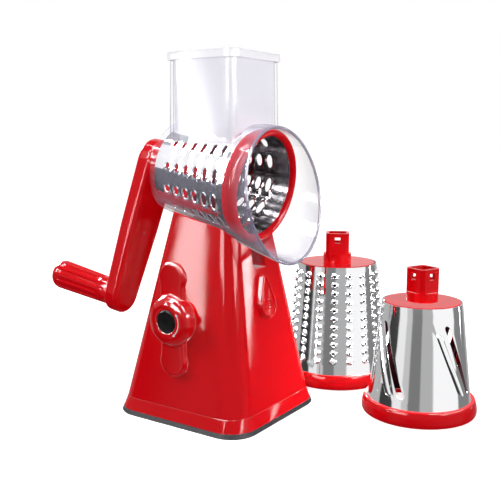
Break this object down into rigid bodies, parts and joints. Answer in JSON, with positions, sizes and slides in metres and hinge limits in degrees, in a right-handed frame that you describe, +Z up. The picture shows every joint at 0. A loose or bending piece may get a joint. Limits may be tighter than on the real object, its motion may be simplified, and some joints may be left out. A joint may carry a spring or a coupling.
{
  "type": "hand cranked vegetable cutter",
  "caption": "Rotary vegetable cutter on a suction stand: clear feed barrel with square hopper and pusher, steel grating drum turned by a side crank, spare drums beside it.",
  "frame": {"origin": "centre of the suction foot's underside, on the table", "axes": "+Z up; the drum's mouth faces +X; the suction knob is on the -Y side"},
  "size_m": [0.3389, 0.2346, 0.28],
  "materials": {
    "red_plastic": "glossy moulded red plastic",
    "clear_plastic": "clear polished plastic",
    "stainless_steel": "polished stainless steel",
    "black_rubber": "matt black rubber",
    "black_plastic": "satin black plastic",
    "white_plastic": "natural white plastic"
  },
  "bodies": {
    "stand": {"tower_shell": "red_plastic", "base_skirt": "red_plastic", "suction_foot": "black_rubber", "base_screw_1": "stainless_steel", "base_screw_2": "stainless_steel", "base_screw_3": "stainless_steel", "base_screw_4": "stainless_steel", "shaft_bush": "white_plastic", "lift_bracket": "stainless_steel", "button_spring": "stainless_steel"},
    "head": {"feed_barrel": "clear_plastic"},
    "pusher": {"pusher": "clear_plastic"},
    "crank": {"crank_arm": "red_plastic", "grip_axle": "stainless_steel"},
    "grip": {"crank_grip": "red_plastic", "grip_cap": "red_plastic"},
    "drum": {"coarse_drum_hub": "red_plastic", "coarse_drum_ring": "red_plastic", "coarse_drum_shell": "stainless_steel"},
    "knob": {"suction_knob": "red_plastic", "knob_cap": "black_plastic", "knob_screw": "stainless_steel", "cam_shaft": "white_plastic"},
    "lift": {"lift_stud": "stainless_steel"},
    "button": {"release_button": "red_plastic"},
    "fine_drum": {"fine_drum_hub": "red_plastic", "fine_drum_ring": "red_plastic", "fine_drum_shell": "stainless_steel"},
    "slicer_drum": {"slicer_drum_hub": "red_plastic", "slicer_drum_ring": "red_plastic", "slicer_drum_shell": "stainless_steel"}
  },
  "joints": [
    {"name": "head_slide", "type": "slide", "parent": "stand", "child": "head", "axis": [1, 0, 0], "range_m": [0, 0.015]},
    {"name": "pusher_lift", "type": "slide", "parent": "head", "child": "pusher", "axis": [0, 0, 1], "range_m": [0, 0.09]},
    {"name": "crank_spin", "type": "hinge", "parent": "head", "child": "crank", "pos_m": [0, 0, 0.1875], "axis": [0.9888, 0, -0.1495], "continuous": true},
    {"name": "drum_pull", "type": "slide", "parent": "crank", "child": "drum", "axis": [0.9888, 0, -0.1495], "range_m": [0, 0.12]},
    {"name": "grip_spin", "type": "hinge", "parent": "crank", "child": "grip", "pos_m": [-0.08473, -0.02999, 0.08866], "axis": [0.9888, 0, -0.1495], "continuous": true},
    {"name": "knob_turn", "type": "hinge", "parent": "stand", "child": "knob", "pos_m": [0, -0.065, 0.0824], "axis": [0, -1, 0], "range_deg": [0, 180]},
    {"name": "stud_lift", "type": "slide", "parent": "stand", "child": "lift", "axis": [0, 0, 1], "range_m": [0, 0.004]},
    {"name": "button_press", "type": "slide", "parent": "stand", "child": "button", "axis": [-0.9854, 0, -0.1705], "range_m": [0, 0.0025], "stiffness_N_per_m": 400, "deforming": ["button_spring"]},
    {"name": "fine_drum_lift", "type": "slide", "parent": "stand", "child": "fine_drum", "axis": [0, 0, 1], "range_m": [0, 0.15]},
    {"name": "slicer_drum_lift", "type": "slide", "parent": "stand", "child": "slicer_drum", "axis": [0, 0, 1], "range_m": [0, 0.1]}
  ],
  "couplings": [
    {"joint": "stud_lift", "follows": "knob_turn", "m_per_rad": 0.0012732}
  ]
}
